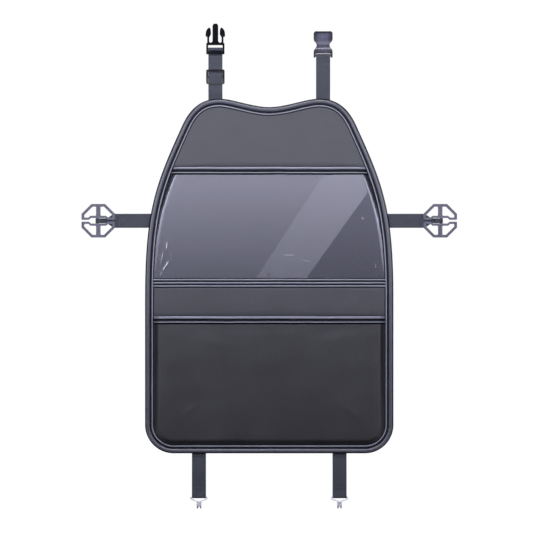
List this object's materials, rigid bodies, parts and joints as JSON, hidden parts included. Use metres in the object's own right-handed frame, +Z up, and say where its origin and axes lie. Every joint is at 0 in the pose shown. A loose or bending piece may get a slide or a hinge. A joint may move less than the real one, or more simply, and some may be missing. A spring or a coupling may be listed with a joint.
{
  "type": "car seat back organizer",
  "caption": "Kick panel for the back of a car seat, with a clear tablet window over a lower pocket, buckled top straps, side straps with slotted discs and hooked lower straps.",
  "frame": {"origin": "centre of the panel's back face at mid-height, where it lies on the seat back", "axes": "+X to the viewer's right, +Y from the front of the panel into the seat back, +Z up along the panel"},
  "size_m": [0.683, 0.0331, 0.883],
  "materials": {
    "leatherette": "fine grained, semi matt",
    "clear_film": "glossy soft PVC film",
    "webbing": "flat woven polypropylene",
    "black_plastic": "moulded, satin",
    "grey_plastic": "moulded, satin",
    "steel_wire": "bright drawn wire",
    "nonwoven": "nonwoven backing",
    "board": "hidden stiffening board"
  },
  "bodies": {
    "panel": {"backing_sheet": "nonwoven", "stiffener_board": "board", "face_sheet": "leatherette", "edge_binding": "leatherette", "tablet_window": "clear_film", "window_mouth_hem": "leatherette", "window_lower_trim": "leatherette", "lower_pocket": "leatherette", "pocket_mouth_hem": "leatherette", "upper_strap_left": "webbing", "upper_strap_right": "webbing", "side_strap_left": "webbing", "side_strap_right": "webbing", "lower_strap_left": "webbing", "lower_strap_right": "webbing"},
    "slider": {"strap_slider": "black_plastic"},
    "male_half": {"male_buckle": "black_plastic"},
    "female_half": {"female_buckle": "black_plastic"},
    "left_anchor": {"anchor_disc_left": "grey_plastic"},
    "right_anchor": {"anchor_disc_right": "grey_plastic"},
    "left_hook": {"wire_hook_left": "steel_wire"},
    "right_hook": {"wire_hook_right": "steel_wire"}
  },
  "joints": [
    {"name": "slider_slide", "type": "slide", "parent": "panel", "child": "slider", "axis": [0, 0, 1], "range_m": [-0.024, 0.026]},
    {"name": "male_tilt", "type": "hinge", "parent": "panel", "child": "male_half", "pos_m": [-0.098, -0.0062, 0.4126], "axis": [-1, 0, 0], "range_deg": [0, 60]},
    {"name": "female_tilt", "type": "hinge", "parent": "panel", "child": "female_half", "pos_m": [0.098, -0.0046, 0.401], "axis": [1, 0, 0], "range_deg": [-60, 60]},
    {"name": "left_anchor_turn", "type": "hinge", "parent": "panel", "child": "left_anchor", "pos_m": [-0.3125, -0.0049, 0.1005], "axis": [0, 0, -1], "range_deg": [0, 90]},
    {"name": "right_anchor_turn", "type": "hinge", "parent": "panel", "child": "right_anchor", "pos_m": [0.3125, -0.0049, 0.1005], "axis": [0, 0, 1], "range_deg": [0, 90]},
    {"name": "left_hook_swing", "type": "hinge", "parent": "panel", "child": "left_hook", "pos_m": [-0.128, -0.00285, -0.4019], "axis": [1, 0, 0], "range_deg": [-90, 90]},
    {"name": "right_hook_swing", "type": "hinge", "parent": "panel", "child": "right_hook", "pos_m": [0.128, -0.00285, -0.4019], "axis": [1, 0, 0], "range_deg": [-90, 90]}
  ]
}
